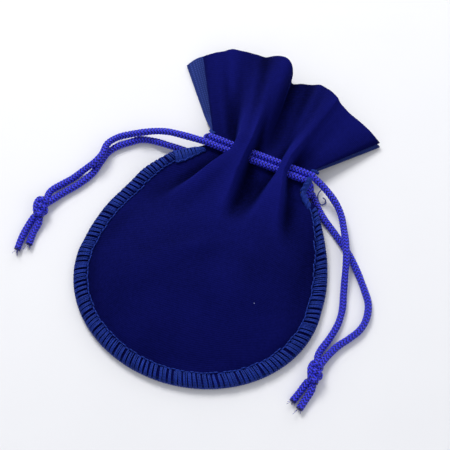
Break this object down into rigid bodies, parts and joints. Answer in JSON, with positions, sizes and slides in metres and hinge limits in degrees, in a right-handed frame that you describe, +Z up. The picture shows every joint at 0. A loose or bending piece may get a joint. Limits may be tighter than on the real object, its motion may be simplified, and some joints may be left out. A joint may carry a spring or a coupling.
{
  "type": "drawstring gift pouch",
  "caption": "Small round-bottomed velvet pouch with an overlocked seam, a gathered neck, a ruffled mouth and two looped drawstrings knotted at its sides.",
  "frame": {"origin": "on the flat underside, under the middle of the pouch's widest line", "axes": "+Z up off the table, +Y from the rounded bottom to the mouth, +X to the right seen from above"},
  "size_m": [0.1289, 0.1328, 0.0145],
  "materials": {
    "velvet": "short-pile knitted velvet with a soft sheen, dark royal blue",
    "seam_thread": "polyester overlock thread with a slight gloss, cobalt blue",
    "drawstring_cord": "round knitted polyester cord with a satin gloss, royal blue"
  },
  "bodies": {
    "pouch": {"front_panel": "velvet", "back_panel": "velvet", "overlock_seam": "seam_thread", "needle_thread": "seam_thread", "left_seam_chain": "seam_thread", "right_seam_chain": "seam_thread", "left_mouth_tack": "seam_thread", "right_mouth_tack": "seam_thread", "left_drawstring_neck_run": "drawstring_cord", "right_drawstring_neck_run": "drawstring_cord"},
    "front_lip": {"front_lip": "velvet"},
    "left_pull": {"left_front_strand": "drawstring_cord", "left_back_strand": "drawstring_cord", "left_knot": "drawstring_cord", "left_tail_long": "drawstring_cord", "left_tail_short": "drawstring_cord"},
    "right_pull": {"right_front_strand": "drawstring_cord", "right_back_strand": "drawstring_cord", "right_knot": "drawstring_cord", "right_tail_short": "drawstring_cord", "right_tail_long": "drawstring_cord"}
  },
  "joints": [
    {"name": "left_pull", "type": "slide", "parent": "pouch", "child": "left_pull", "axis": [-0.9938, 0.1115, 0], "range_m": [0, 0.0045]},
    {"name": "right_pull", "type": "slide", "parent": "pouch", "child": "right_pull", "axis": [0.9938, -0.1115, 0], "range_m": [0, 0.0045]},
    {"name": "mouth_open", "type": "hinge", "parent": "pouch", "child": "front_lip", "pos_m": [0.00692, 0.05513, 0.0145], "axis": [0.9938, -0.1115, 0], "range_deg": [0, 30]}
  ]
}
